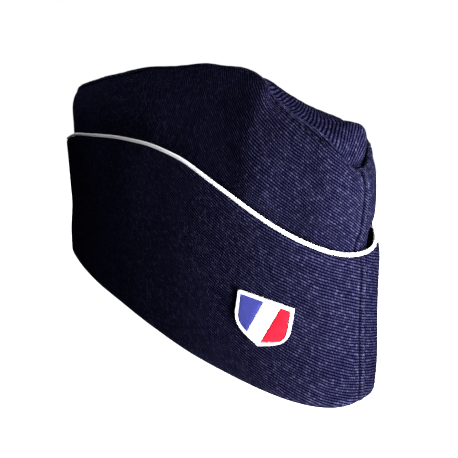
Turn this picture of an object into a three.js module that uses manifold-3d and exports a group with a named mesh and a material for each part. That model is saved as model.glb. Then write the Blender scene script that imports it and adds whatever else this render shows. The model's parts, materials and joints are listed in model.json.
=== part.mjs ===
// Garrison cap standing open on its rim, in millimetres, +Z up.
// The front of the cap points along +X and the wearer's left along +Y.
// The rim lies on z = 0 and the origin is the middle of the rim's footprint.
//
// Every cloth wall is a closed shell between an outer and an inner face. A face is addressed by an
// angle "turn" (0 at the front seam, half a turn at the back seam) and a "share" of the height
// (0 at the rim, 1 at the top edge). A "station" is the place along the cap: 1 front, -1 back.
import * as THREE from 'three';
import { mergeVertices } from 'three/addons/utils/BufferGeometryUtils.js';
import Module from 'manifold-3d';

const wasm = await Module();
wasm.setup();

// ---- driving dimensions ----------------------------------------------------------------------
const GAP = 0.35;              // clearance between neighbouring pieces
const SEAM_GAP = 0.3;          // clearance between the two halves at a seam
const CROWN_WALL = 1.7;        // one layer of heavy twill with its seam allowance
const CURTAIN_WALL = 2.2;      // the curtain is folded double
const PIPING_RADIUS = 0.7;
const TOP_WALL = 1.6;          // wall of the gusset between the two ridges
const TOP_LIFT = 0.6;          // how far the gusset's edge stands above the panels' inner lip
const TOP_END = 0.996;         // station of the gusset's front end, and less one of its back end
const ROLL = 0.6;              // roundness of the front roll, from 0.5 round to 1 shallow
const ROLL_LEAN = 2.0;         // lean of the front roll: 1 is even, more leans it to the left
const ROLL_SPREAD = 0.4;       // how far the roll spreads over the left ridge, to its rise
const SPREAD_EDGE = 4;         // how closely this spreading keeps to the left ridge
const SWELL_STATION = 0.85;    // where the panels swell near the front, and over what length
const SWELL_LENGTH = 0.25;
const LEAN_FROM = 0.6;         // share of the height where a crown panel starts to lean inward
const LEAN_ANGLE = Math.PI / 3; // its lean at the ridge

// The crown's plan outline at rising heights: its reach to the front and to the back, its half
// width, how blunt the nose, tail and sides are (2 is an ellipse, more is squarer), and the extra
// width of the right and left panels near the front.
const CROWN_LEVELS = table(
  'share  front   back   half  nose_right nose_left tail side swell_right swell_left',
  [0.00, 129.5, 129.4, 29.0, 2.6, 2.6, 1.80, 2.6, 0.0, 0.0],
  [0.30, 126.4, 123.2, 30.4, 2.6, 2.7, 1.80, 2.4, 0.0, 0.5],
  [0.55, 124.2, 120.0, 31.4, 2.7, 3.0, 1.90, 2.2, 0.5, 1.5],
  [0.68, 124.5, 120.0, 31.0, 2.8, 3.4, 2.10, 2.2, 1.0, 2.5],
  [0.75, 126.0, 121.5, 29.8, 2.9, 3.6, 2.30, 2.2, 1.5, 4.0],
  [0.90, 126.2, 130.0, 23.8, 3.0, 3.5, 2.80, 2.2, 1.5, 5.2],
  [0.97, 124.9, 132.0, 18.2, 3.8, 4.6, 3.00, 2.2, 0.6, 4.6],
  [1.00, 120.8, 131.2, 15.4, 5.0, 11.0, 3.00, 2.2, 0.0, 3.6],
);

// Height of each ridge along the cap: it dips behind the middle, breaks over and falls to the front.
const RIDGE = table(
  'station right  left',
  [-1.00, 111.0, 111.0],
  [-0.92, 114.2, 114.2],
  [-0.75, 115.0, 115.0],
  [-0.50, 115.7, 115.4],
  [0.00, 116.2, 115.0],
  [0.25, 114.4, 113.6],
  [0.44, 113.6, 111.2],
  [0.57, 111.2, 103.8],
  [0.66, 109.4, 99.4],
  [0.74, 105.6, 96.2],
  [0.78, 99.9, 94.6],
  [0.845, 94.6, 91.0],
  [0.93, 88.0, 86.2],
  [0.965, 84.4, 83.4],
  [1.00, 77.4, 77.4],
);

// The turned-up curtain, in the same columns as the crown, and the sweep of its top edge.
const CURTAIN_LEVELS = table(
  'share  front   back   half  nose_right nose_left tail side swell_right swell_left',
  [0.00, 132.0, 132.0, 32.4, 3.1, 3.3, 1.80, 2.6, -1.0, 1.0],
  [0.15, 131.6, 132.0, 33.4, 2.8, 3.5, 1.80, 2.5, -0.4, 1.6],
  [0.50, 129.4, 126.5, 35.4, 2.8, 3.8, 1.70, 2.3, 0.0, 2.4],
  [0.85, 128.0, 126.8, 37.6, 3.1, 3.8, 1.70, 2.2, 0.0, 2.4],
  [1.00, 127.2, 127.0, 39.0, 3.2, 3.5, 1.70, 2.2, 0.0, -0.6],
);
const CURTAIN_TOP = table(
  'station height',
  [-1.00, 78.2],
  [-0.70, 79.0],
  [-0.30, 82.6],
  [0.08, 82.8],
  [0.36, 81.3],
  [0.55, 77.4],
  [0.71, 69.4],
  [0.89, 57.4],
  [1.00, 50.0],
);

// The gusset between the ridges: a folded valley along the back, rising to a roll at the front.
const TOP_RISE = table(
  'station rise',
  [-1.00, -1.0],
  [-0.85, -3.5],
  [-0.50, -7.5],
  [0.00, -8.0],
  [0.30, -5.5],
  [0.52, -2.5],
  [0.68, -0.8],
  [0.77, 0.0],
  [0.83, 1.0],
  [0.88, 2.8],
  [0.93, 5.6],
  [0.96, 7.2],
  [0.975, 7.2],
  [0.988, 4.6],
  [0.996, 0.4],
);

// Soft hollows pressed into the crown panels, and folds standing out where the depth is negative:
// where they lie, how far along and up they reach, and how deep.
const DENTS = table(
  'side station share along up depth',
  [-1, 0.54, 0.84, 0.26, 0.17, 4.8],
  [-1, 0.795, 0.73, 0.07, 0.135, -3.4],
  [-1, 0.90, 0.69, 0.05, 0.38, 1.7],
  [-1, 0.965, 0.73, 0.035, 0.30, -2.2],
  [-1, -0.45, 0.82, 0.16, 0.20, 1.2],
  [1, 0.30, 0.80, 0.12, 0.22, 1.6],
  [1, -0.40, 0.78, 0.18, 0.22, 1.3],
);

// Facets along and up each cloth shell. The crown's rows crowd towards the ridge by the power "ease".
const CROWN_STEPS = { along: 44, up: 12, ease: 1.4 };
const CURTAIN_STEPS = { along: 44, up: 6 };
const TOP_STEPS = { along: 40, across: 8 };
const PIPING_STEPS = { along: 132, around: 8 };

// Enamel pin on the right side of the curtain.
const BADGE = {
  turn: 0.68,         // place on the curtain
  share: 0.42,
  tilt: -0.1,         // its front end hangs a little lower
  width: 20.5,
  height: 17,
  shoulder: 0.06,     // where the sides start to curve in, above the middle, as a share of the height
  belly: 5.5,         // how far below the shoulder the sides stay full
  cheek: 0.55,        // how full the two curves are beside the tip: a share of the half width
  cheek_rise: 2.4,    // and how high above the tip
  plate: 0.8,         // thickness of the back plate
  rim: 1.0,           // width of the raised rim
  rim_height: 0.9,
  enamel: 0.5,
  band_tilt: 0.36,    // slope of the two lines that part the three fields
  band_half: 3.1,     // half width of the white band along the top edge
  post_radius: 0.6,
  clutch_radius: 4.0,
  clutch: 0.7,
};

// ---- small helpers ---------------------------------------------------------------------------
function table(header, ...rows) {
  const names = header.trim().split(/\s+/);
  return rows.map((row) => Object.fromEntries(names.map((name, i) => [name, row[i]])));
}

// Smooth curve through the rows of a table that never overshoots between two rows.
function follow(rows, key, column, at) {
  const x = rows.map((row) => row[key]);
  const y = rows.map((row) => row[column]);
  const last = x.length - 1;
  const place = Math.min(Math.max(at, x[0]), x[last]);
  let k = 0;
  while (k < last - 1 && place > x[k + 1]) k += 1;
  const chord = (i) => (y[i + 1] - y[i]) / (x[i + 1] - x[i]);
  const slope = (i) => {
    if (i === 0) return chord(0);
    if (i === last) return chord(last - 1);
    const before = chord(i - 1);
    const after = chord(i);
    if (before * after <= 0) return 0;
    const a = 2 * (x[i + 1] - x[i]) + (x[i] - x[i - 1]);
    const b = (x[i + 1] - x[i]) + 2 * (x[i] - x[i - 1]);
    return (a + b) / (a / before + b / after);
  };
  const span = x[k + 1] - x[k];
  const t = (place - x[k]) / span;
  const near = (1 + 2 * t) * (1 - t) ** 2 * y[k] + t * t * (3 - 2 * t) * y[k + 1];
  const pull = t * (1 - t) ** 2 * slope(k) - t * t * (1 - t) * slope(k + 1);
  return near + span * pull;
}

function levelAt(levels, share) {
  const names = Object.keys(levels[0]);
  return Object.fromEntries(names.map((name) => [name, follow(levels, 'share', name, share)]));
}

// Plan outline of a level on one side, shrunk inward by "inset".
function outline(level, side, turn, inset) {
  const c = Math.cos(turn);
  const nose = side < 0 ? level.nose_right : level.nose_left;
  const swell = side < 0 ? level.swell_right : level.swell_left;
  const reach = c >= 0 ? level.front - inset : level.back - inset;
  const station = Math.sign(c) * Math.abs(c) ** (2 / (c >= 0 ? nose : level.tail));
  const bump = Math.exp(-(((station - SWELL_STATION) / SWELL_LENGTH) ** 2));
  const half = level.half - inset + swell * bump;
  return { x: reach * station, station, half, across: Math.abs(Math.sin(turn)) ** (2 / level.side) };
}

// Closed shell between two faces given as point(i, j, inner) on a grid of columns and rows.
function shell(columns, rows, point) {
  const positions = [];
  const index = [];
  const at = (i, j, inner) => (inner ? (columns + 1) * (rows + 1) : 0) + i * (rows + 1) + j;
  for (const inner of [false, true]) {
    for (let i = 0; i <= columns; i += 1) {
      for (let j = 0; j <= rows; j += 1) positions.push(...point(i / columns, j / rows, inner));
    }
  }
  const quad = (a, b, c, d) => index.push(a, b, c, a, c, d);
  for (let i = 0; i < columns; i += 1) {
    for (let j = 0; j < rows; j += 1) {
      quad(at(i, j, false), at(i, j + 1, false), at(i + 1, j + 1, false), at(i + 1, j, false));
      quad(at(i, j, true), at(i + 1, j, true), at(i + 1, j + 1, true), at(i, j + 1, true));
    }
    quad(at(i, 0, false), at(i + 1, 0, false), at(i + 1, 0, true), at(i, 0, true));
    quad(at(i, rows, false), at(i, rows, true), at(i + 1, rows, true), at(i + 1, rows, false));
  }
  for (let j = 0; j < rows; j += 1) {
    quad(at(0, j, false), at(0, j, true), at(0, j + 1, true), at(0, j + 1, false));
    quad(at(columns, j, false), at(columns, j + 1, false), at(columns, j + 1, true), at(columns, j, true));
  }
  return solid(positions, index);
}

// Indexed geometry whose faces point outward, whichever way round the grid was walked.
function solid(positions, index) {
  let volume = 0;
  const p = (k) => new THREE.Vector3().fromArray(positions, 3 * k);
  for (let k = 0; k < index.length; k += 3) {
    volume += p(index[k]).dot(p(index[k + 1]).cross(p(index[k + 2])));
  }
  if (volume < 0) index.reverse();
  const geometry = new THREE.BufferGeometry();
  geometry.setAttribute('position', new THREE.Float32BufferAttribute(positions, 3));
  geometry.setIndex(index);
  return geometry;
}

function toManifold(geometry) {
  const bare = geometry.clone();
  bare.deleteAttribute('normal');
  bare.deleteAttribute('uv');
  const merged = mergeVertices(bare, 1e-4);
  return new wasm.Manifold(new wasm.Mesh({
    numProp: 3,
    vertProperties: new Float32Array(merged.attributes.position.array),
    triVerts: new Uint32Array(merged.index.array),
  }));
}

function fromManifold(manifold) {
  const mesh = manifold.getMesh();
  return solid(Array.from(mesh.vertProperties), Array.from(mesh.triVerts));
}

// ---- crown -----------------------------------------------------------------------------------
const ridgeColumn = (side) => (side < 0 ? 'right' : 'left');

function dentDepth(side, station, share) {
  let depth = 0;
  for (const dent of DENTS) {
    if (dent.side !== side) continue;
    const along = (station - dent.station) / dent.along;
    const up = (share - dent.share) / dent.up;
    depth += dent.depth * Math.exp(-along * along - up * up);
  }
  return depth;
}

// The panel leans in more and more towards the ridge, so its wall is set back partly downward.
const leanAt = (share) => LEAN_ANGLE * THREE.MathUtils.smoothstep(share, LEAN_FROM, 1);

function crownPoint(side, turn, share, depth) {
  const level = levelAt(CROWN_LEVELS, share);
  const lean = leanAt(share);
  const inset = depth * Math.cos(lean);
  const { x, station, half, across } = outline(level, side, turn, inset);
  const y = side * (SEAM_GAP / 2 + (half - dentDepth(side, station, share)) * across);
  const height = share * follow(RIDGE, 'station', ridgeColumn(side), station);
  return [x, y, height - depth * Math.sin(lean)];
}

function crownPanel(side) {
  return shell(CROWN_STEPS.along, CROWN_STEPS.up, (i, j, inner) => {
    const share = 1 - (1 - j) ** CROWN_STEPS.ease;
    return crownPoint(side, Math.PI * i, share, inner ? CROWN_WALL : 0);
  });
}

// ---- gusset ----------------------------------------------------------------------------------
// It spans from ridge to ridge, just inside the two panels, and stops short of both seams.
function ridgeLip(side, station) {
  const level = levelAt(CROWN_LEVELS, 1);
  const nose = side < 0 ? level.nose_right : level.nose_left;
  const power = (station >= 0 ? nose : level.tail) / 2;
  const turn = Math.acos(Math.sign(station) * Math.abs(station) ** power);
  return crownPoint(side, turn, 1, CROWN_WALL);
}

function topPoint(i, j, inner) {
  const station = TOP_END * Math.cos(Math.PI * i);
  const rimRight = ridgeLip(-1, station);
  const rimLeft = ridgeLip(1, station);
  const x = rimRight[0];
  const right = rimRight[1] + GAP;
  const left = rimLeft[1] - GAP;
  const edge = rimRight[2] + (rimLeft[2] - rimRight[2]) * j;
  const rise = follow(TOP_RISE, 'station', 'rise', station);
  const part = rise > 0 ? j ** ROLL_LEAN : j;
  const arch = (1 - (2 * part - 1) ** 2) ** (rise > 0 ? ROLL : 1);
  const spread = ROLL_SPREAD * Math.max(rise, 0) * arch * j ** SPREAD_EDGE;
  const y = right + (left - right) * j + spread;
  const z = edge + TOP_LIFT + rise * arch;
  return [x, y, inner ? z - TOP_WALL : z];
}

function crownTop() {
  return shell(TOP_STEPS.along, TOP_STEPS.across, topPoint);
}

// ---- curtain and piping ------------------------------------------------------------------------
const curtainHeight = (station) => follow(CURTAIN_TOP, 'station', 'height', station);

// How far below the piping's middle line the cloth's edge stops: more where the line slopes.
function pipingTrim(station, reach) {
  const step = 0.02;
  const fall = curtainHeight(station + step) - curtainHeight(station - step);
  return (PIPING_RADIUS + GAP) * Math.hypot(1, fall / (2 * step * reach));
}

function curtainPoint(side, turn, share, inset, trimmed) {
  const level = levelAt(CURTAIN_LEVELS, share);
  const { x, station, half, across } = outline(level, side, turn, inset);
  const y = side * (SEAM_GAP / 2 + half * across);
  const trim = trimmed ? pipingTrim(station, level.front) : 0;
  return [x, y, share * (curtainHeight(station) - trim)];
}

function curtainHalf(side) {
  return shell(CURTAIN_STEPS.along, CURTAIN_STEPS.up, (i, j, inner) => (
    curtainPoint(side, Math.PI * i, j, inner ? CURTAIN_WALL : 0, true)));
}

// Middle line of the piping: all the way round the curtain's top edge.
function pipingLine(part) {
  const side = part < 0.5 ? -1 : 1;
  const turn = part < 0.5 ? 2 * Math.PI * part : 2 * Math.PI * (1 - part);
  const [x, y, z] = curtainPoint(side, turn, 1, CURTAIN_WALL / 2, false);
  return new THREE.Vector3(x, y, z);
}

function piping() {
  const { along, around } = PIPING_STEPS;
  const positions = [];
  const index = [];
  const up = new THREE.Vector3(0, 0, 1);
  for (let i = 0; i < along; i += 1) {
    const here = pipingLine(i / along);
    const ahead = pipingLine(((i + 0.5) % along) / along);
    const behind = pipingLine(((i + along - 0.5) % along) / along);
    const forward = ahead.sub(behind).normalize();
    const outward = new THREE.Vector3().crossVectors(forward, up).normalize();
    const upward = new THREE.Vector3().crossVectors(outward, forward);
    for (let j = 0; j < around; j += 1) {
      const angle = (2 * Math.PI * j) / around;
      const offset = outward.clone().multiplyScalar(PIPING_RADIUS * Math.cos(angle));
      offset.addScaledVector(upward, PIPING_RADIUS * Math.sin(angle));
      positions.push(here.x + offset.x, here.y + offset.y, here.z + offset.z);
    }
  }
  for (let i = 0; i < along; i += 1) {
    for (let j = 0; j < around; j += 1) {
      const a = i * around + j;
      const b = i * around + ((j + 1) % around);
      const c = ((i + 1) % along) * around + ((j + 1) % around);
      const d = ((i + 1) % along) * around + j;
      index.push(a, b, c, a, c, d);
    }
  }
  return solid(positions, index);
}

// ---- badge -----------------------------------------------------------------------------------
const TIP_INSET = 1.25;        // an inset moves the pointed tip further than the straight sides
const ROUND = { curve: 8, hole: 16, post: 12, clutch: 20 };  // facets of the badge's round forms

// Heater shield, drawn with its middle at the origin, +Y up, shrunk by "inset" on every side.
function shield(inset) {
  const w = BADGE.width / 2 - inset;
  const top = BADGE.height / 2 - inset;
  const tip = -BADGE.height / 2 + inset * TIP_INSET;
  const shoulder = BADGE.height * BADGE.shoulder;
  const full = shoulder - BADGE.belly;
  const cheek = w * BADGE.cheek;
  const above = tip + BADGE.cheek_rise;
  const shape = new THREE.Shape();
  shape.moveTo(-w, top);
  shape.lineTo(-w, shoulder);
  shape.bezierCurveTo(-w, full, -cheek, above, 0, tip);
  shape.bezierCurveTo(cheek, above, w, full, w, shoulder);
  shape.lineTo(w, top);
  return shape;
}

const slab = (shape, depth) => new THREE.ExtrudeGeometry(shape, {
  depth, bevelEnabled: false, curveSegments: ROUND.curve,
});

function badgePlate() {
  const ring = shield(0);
  ring.holes.push(shield(BADGE.rim));
  const rim = slab(ring, BADGE.plate + BADGE.rim_height);
  return fromManifold(toManifold(rim).add(toManifold(slab(shield(0), BADGE.plate))));
}

// One of the three enamel fields: the inside of the rim between two slanting lines.
function badgeField(from, to) {
  const reach = BADGE.height;
  const slant = BADGE.band_tilt * reach;
  const band = new THREE.Shape();
  band.moveTo(from - slant, -reach);
  band.lineTo(to - slant, -reach);
  band.lineTo(to + slant, reach);
  band.lineTo(from + slant, reach);
  const inside = toManifold(slab(shield(BADGE.rim + GAP), BADGE.enamel));
  const field = inside.intersect(toManifold(slab(band, BADGE.enamel)));
  return fromManifold(field).translate(0, 0, BADGE.plate + GAP);
}

// Cylinder along +Z, the badge's outward direction, with its middle at the origin.
function rod(radius, length, facets) {
  return new THREE.CylinderGeometry(radius, radius, length, facets).rotateX(Math.PI / 2);
}

// Plain post through the curtain with a flat clutch behind it.
function badgePin() {
  const length = 2 * GAP + CURTAIN_WALL + BADGE.clutch;
  const post = rod(BADGE.post_radius, length, ROUND.post);
  post.translate(0, 0, -GAP - length / 2);
  const clutch = rod(BADGE.clutch_radius, BADGE.clutch, ROUND.clutch);
  clutch.translate(0, 0, -GAP - length + BADGE.clutch / 2);
  return fromManifold(toManifold(post).add(toManifold(clutch)));
}

// Frame of the badge on the curtain: its back face lies just off the cloth.
function badgeFrame() {
  const point = (turn, share) => new THREE.Vector3(...curtainPoint(-1, turn, share, 0, false));
  const step = 0.02;
  const middle = point(BADGE.turn, BADGE.share);
  const forward = point(BADGE.turn - step, BADGE.share).sub(point(BADGE.turn + step, BADGE.share));
  const rise = point(BADGE.turn, BADGE.share + step).sub(point(BADGE.turn, BADGE.share - step));
  const out = new THREE.Vector3().crossVectors(forward, rise).normalize();
  const across = forward.setZ(0).normalize();
  const up = new THREE.Vector3().crossVectors(out, across).normalize();
  const frame = new THREE.Matrix4().makeBasis(new THREE.Vector3().crossVectors(up, out), up, out);
  frame.setPosition(middle.addScaledVector(out, GAP));
  return frame.multiply(new THREE.Matrix4().makeRotationZ(BADGE.tilt));
}

function pierced(curtain, frame) {
  const drill = rod(BADGE.post_radius + GAP, 4 * CURTAIN_WALL, ROUND.hole).applyMatrix4(frame);
  return fromManifold(toManifold(curtain).subtract(toManifold(drill)));
}

// ---- assembly --------------------------------------------------------------------------------
const cloth = new THREE.MeshStandardMaterial({ color: 0x14142e, roughness: 0.9, metalness: 0 });
const white = new THREE.MeshStandardMaterial({ color: 0xe9e8ec, roughness: 0.7, metalness: 0 });
const steel = new THREE.MeshStandardMaterial({ color: 0xb9bbc0, roughness: 0.35, metalness: 1 });
const enamel = (color) => new THREE.MeshStandardMaterial({ color, roughness: 0.2, metalness: 0 });

const cap = new THREE.Group();

function piece(parent, name, geometry, material) {
  const mesh = new THREE.Mesh(geometry, material);
  mesh.name = name;
  parent.add(mesh);
}

const frame = badgeFrame();
piece(cap, 'crown_right', crownPanel(-1), cloth);
piece(cap, 'crown_left', crownPanel(1), cloth);
piece(cap, 'crown_top', crownTop(), cloth);
piece(cap, 'curtain_right', pierced(curtainHalf(-1), frame), cloth);
piece(cap, 'curtain_left', curtainHalf(1), cloth);
piece(cap, 'piping', piping(), white);

const badge = new THREE.Group();
badge.applyMatrix4(frame);
cap.add(badge);
const bandIn = BADGE.band_half - GAP / 2;
const bandOut = BADGE.band_half + GAP / 2;
piece(badge, 'badge_plate', badgePlate(), white);
piece(badge, 'badge_blue', badgeField(-BADGE.width, -bandOut), enamel(0x2a3fc0));
piece(badge, 'badge_white', badgeField(-bandIn, bandIn), enamel(0xf4f4f6));
piece(badge, 'badge_red', badgeField(bandOut, BADGE.width), enamel(0xe0203c));
piece(badge, 'badge_pin', badgePin(), steel);

export default cap;
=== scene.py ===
# Garrison cap: the dressed model, the floor, the light and the camera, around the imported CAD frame.
import json
import math
import random

import bmesh
import bpy
import numpy as np
from mathutils import Matrix, Vector
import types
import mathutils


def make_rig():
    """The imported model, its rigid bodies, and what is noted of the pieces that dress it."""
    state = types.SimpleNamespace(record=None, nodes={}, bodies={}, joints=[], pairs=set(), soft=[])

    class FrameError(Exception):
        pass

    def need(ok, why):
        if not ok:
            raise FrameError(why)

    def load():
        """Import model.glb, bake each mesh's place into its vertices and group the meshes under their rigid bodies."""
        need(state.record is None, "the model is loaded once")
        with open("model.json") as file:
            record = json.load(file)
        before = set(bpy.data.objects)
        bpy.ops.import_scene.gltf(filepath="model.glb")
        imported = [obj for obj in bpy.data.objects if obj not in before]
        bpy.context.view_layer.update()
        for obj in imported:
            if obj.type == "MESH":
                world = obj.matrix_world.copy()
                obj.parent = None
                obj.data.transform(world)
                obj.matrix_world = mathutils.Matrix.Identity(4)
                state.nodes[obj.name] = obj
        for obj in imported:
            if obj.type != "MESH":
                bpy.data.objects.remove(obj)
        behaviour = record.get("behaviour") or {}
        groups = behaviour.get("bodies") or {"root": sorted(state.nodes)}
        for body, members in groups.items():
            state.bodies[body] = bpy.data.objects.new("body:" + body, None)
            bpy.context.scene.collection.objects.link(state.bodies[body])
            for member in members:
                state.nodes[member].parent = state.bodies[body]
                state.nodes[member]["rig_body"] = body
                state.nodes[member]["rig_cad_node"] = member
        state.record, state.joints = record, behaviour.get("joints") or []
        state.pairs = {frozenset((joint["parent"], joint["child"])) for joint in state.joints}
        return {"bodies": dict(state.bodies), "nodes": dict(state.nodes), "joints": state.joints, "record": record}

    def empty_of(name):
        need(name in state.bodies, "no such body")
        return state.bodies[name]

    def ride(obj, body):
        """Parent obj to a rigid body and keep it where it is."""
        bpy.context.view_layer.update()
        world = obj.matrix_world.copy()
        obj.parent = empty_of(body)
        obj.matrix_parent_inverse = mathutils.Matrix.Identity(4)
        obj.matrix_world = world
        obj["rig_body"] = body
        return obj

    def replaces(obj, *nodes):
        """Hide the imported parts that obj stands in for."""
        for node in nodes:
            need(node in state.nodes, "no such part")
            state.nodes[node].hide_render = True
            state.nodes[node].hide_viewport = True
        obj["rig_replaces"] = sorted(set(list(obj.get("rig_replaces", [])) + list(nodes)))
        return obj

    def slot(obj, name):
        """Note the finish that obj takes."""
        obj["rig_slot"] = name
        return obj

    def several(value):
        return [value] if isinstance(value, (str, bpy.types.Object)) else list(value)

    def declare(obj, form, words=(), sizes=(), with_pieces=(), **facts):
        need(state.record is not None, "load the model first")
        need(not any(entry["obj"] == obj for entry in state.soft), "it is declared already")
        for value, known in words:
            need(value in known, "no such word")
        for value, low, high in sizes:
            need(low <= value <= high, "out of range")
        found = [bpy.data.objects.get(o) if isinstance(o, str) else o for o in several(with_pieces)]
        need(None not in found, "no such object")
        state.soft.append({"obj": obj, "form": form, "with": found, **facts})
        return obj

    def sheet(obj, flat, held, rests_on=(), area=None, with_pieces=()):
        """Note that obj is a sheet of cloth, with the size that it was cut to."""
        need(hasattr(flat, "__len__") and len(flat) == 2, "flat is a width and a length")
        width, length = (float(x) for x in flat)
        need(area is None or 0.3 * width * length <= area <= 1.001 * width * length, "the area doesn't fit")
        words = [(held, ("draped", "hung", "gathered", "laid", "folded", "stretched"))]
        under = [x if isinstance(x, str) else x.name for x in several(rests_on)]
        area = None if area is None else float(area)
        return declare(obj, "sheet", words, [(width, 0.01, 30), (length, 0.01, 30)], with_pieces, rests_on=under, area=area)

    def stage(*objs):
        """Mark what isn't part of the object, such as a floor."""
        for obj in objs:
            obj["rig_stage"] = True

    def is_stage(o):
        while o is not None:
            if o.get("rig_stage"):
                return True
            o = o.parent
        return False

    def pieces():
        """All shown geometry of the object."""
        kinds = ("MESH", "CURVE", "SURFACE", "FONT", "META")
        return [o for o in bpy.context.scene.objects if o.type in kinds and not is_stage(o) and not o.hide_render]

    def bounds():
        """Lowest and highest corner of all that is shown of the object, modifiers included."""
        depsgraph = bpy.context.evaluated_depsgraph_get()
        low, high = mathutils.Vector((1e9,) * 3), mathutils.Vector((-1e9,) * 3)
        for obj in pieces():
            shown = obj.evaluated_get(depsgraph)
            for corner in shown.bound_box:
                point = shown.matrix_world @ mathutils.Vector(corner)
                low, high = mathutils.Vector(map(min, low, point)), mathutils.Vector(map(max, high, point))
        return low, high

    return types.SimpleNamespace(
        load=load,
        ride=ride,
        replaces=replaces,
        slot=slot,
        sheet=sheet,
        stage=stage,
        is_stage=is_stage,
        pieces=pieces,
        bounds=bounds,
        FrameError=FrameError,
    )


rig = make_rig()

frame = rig.load()
cad_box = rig.bounds()

# ---- driving sizes, in millimetres, as in the part's own source ----
MM = 0.001  # one millimetre, in metres
SEAM = 0.02  # half the hairline between two cloth pieces at a seam
CROWN_WALL = 1.7  # one layer of heavy twill with its seam allowance
CURTAIN_WALL = 2.2  # the curtain is folded double
PIPING_RADIUS = 0.7
TOP_WALL = 1.6  # wall of the gusset between the two ridges
TOP_LIFT = 0.6  # how far the gusset's edge stands above the panels' inner lip
TOP_END = 0.996  # station of the gusset's front end, and less one of its back end
ROLL = 0.6  # roundness of the front roll, from 0.5 round to 1 shallow
ROLL_LEAN = 2.0  # lean of the front roll: 1 is even, more leans it to the left
ROLL_SPREAD = 0.75  # spread of the roll over the left ridge, wider than the solid's 0.4
SPREAD_EDGE = 4  # how closely this spreading keeps to the left ridge
SWELL_STATION = 0.85  # where the panels swell near the front, and over what length
SWELL_LENGTH = 0.25
LEAN_FROM = 0.6  # share of the height where a crown panel starts to lean inward
LEAN_ANGLE = math.pi / 3  # its lean at the ridge

SIDES = {-1: "right", 1: "left"}


def table(header, *rows):
    """Columns of numbers by name."""
    return dict(zip(header.split(), np.array(rows, float).T))


CROWN_LEVELS = table(
    "share  front   back   half  nose_right nose_left tail side swell_right swell_left",
    [0.00, 129.5, 129.4, 29.0, 2.6, 2.6, 1.80, 2.6, 0.0, 0.0],
    [0.30, 126.4, 123.2, 30.4, 2.6, 2.7, 1.80, 2.4, 0.0, 0.5],
    [0.55, 124.2, 120.0, 31.4, 2.7, 3.0, 1.90, 2.2, 0.5, 1.5],
    [0.68, 124.5, 120.0, 31.0, 2.8, 3.4, 2.10, 2.2, 1.0, 2.5],
    [0.75, 126.0, 121.5, 29.8, 2.9, 3.6, 2.30, 2.2, 1.5, 4.0],
    [0.90, 126.2, 130.0, 23.8, 3.0, 3.5, 2.80, 2.2, 1.5, 5.2],
    [0.97, 124.9, 132.0, 18.2, 3.8, 4.6, 3.00, 2.2, 0.6, 4.6],
    [1.00, 120.8, 131.2, 15.4, 5.0, 11.0, 3.00, 2.2, 0.0, 3.6],
)
RIDGE = table(
    "station right  left",
    [-1.00, 111.0, 111.0],
    [-0.92, 114.2, 114.2],
    [-0.75, 115.0, 115.0],
    [-0.50, 115.7, 115.4],
    [0.00, 116.2, 115.0],
    [0.25, 114.4, 113.6],
    [0.44, 113.6, 111.2],
    [0.57, 111.2, 103.8],
    [0.66, 109.4, 99.4],
    [0.74, 105.6, 96.2],
    [0.78, 99.9, 94.6],
    [0.845, 94.6, 91.0],
    [0.93, 88.0, 86.2],
    [0.965, 84.4, 83.4],
    [1.00, 77.4, 77.4],
)
CURTAIN_LEVELS = table(
    "share  front   back   half  nose_right nose_left tail side swell_right swell_left",
    [0.00, 132.0, 132.0, 32.4, 3.1, 3.3, 1.80, 2.6, -1.0, 1.0],
    [0.15, 131.6, 132.0, 33.4, 2.8, 3.5, 1.80, 2.5, -0.4, 1.6],
    [0.50, 129.4, 126.5, 35.4, 2.8, 3.8, 1.70, 2.3, 0.0, 2.4],
    [0.85, 128.0, 126.8, 37.6, 3.1, 3.8, 1.70, 2.2, 0.0, 2.4],
    [1.00, 127.2, 127.0, 39.0, 3.2, 3.5, 1.70, 2.2, 0.0, -0.6],
)
CURTAIN_TOP = table(
    "station height",
    [-1.00, 78.2],
    [-0.70, 79.0],
    [-0.30, 82.6],
    [0.08, 82.8],
    [0.36, 81.3],
    [0.55, 77.4],
    [0.71, 69.4],
    [0.89, 57.4],
    [1.00, 50.0],
)
TOP_RISE = table(
    "station rise",
    [-1.00, -1.0],
    [-0.85, -3.5],
    [-0.50, -7.5],
    [0.00, -8.0],
    [0.30, -5.5],
    [0.52, -2.5],
    [0.68, -0.8],
    [0.77, 0.0],
    [0.83, 1.0],
    [0.88, 2.8],
    [0.93, 5.6],
    [0.96, 7.2],
    [0.975, 7.2],
    [0.988, 4.6],
    [0.996, 0.4],
)
DENTS = table(
    "side station share along up depth",
    [-1, 0.54, 0.84, 0.26, 0.17, 4.8],
    [-1, 0.795, 0.73, 0.07, 0.135, -3.4],
    [-1, 0.90, 0.69, 0.05, 0.38, 1.7],
    [-1, 0.965, 0.73, 0.035, 0.30, -2.2],
    [-1, -0.45, 0.82, 0.16, 0.20, 1.2],
    [1, 0.30, 0.80, 0.12, 0.22, 1.6],
    [1, -0.40, 0.78, 0.18, 0.22, 1.3],
)


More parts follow.
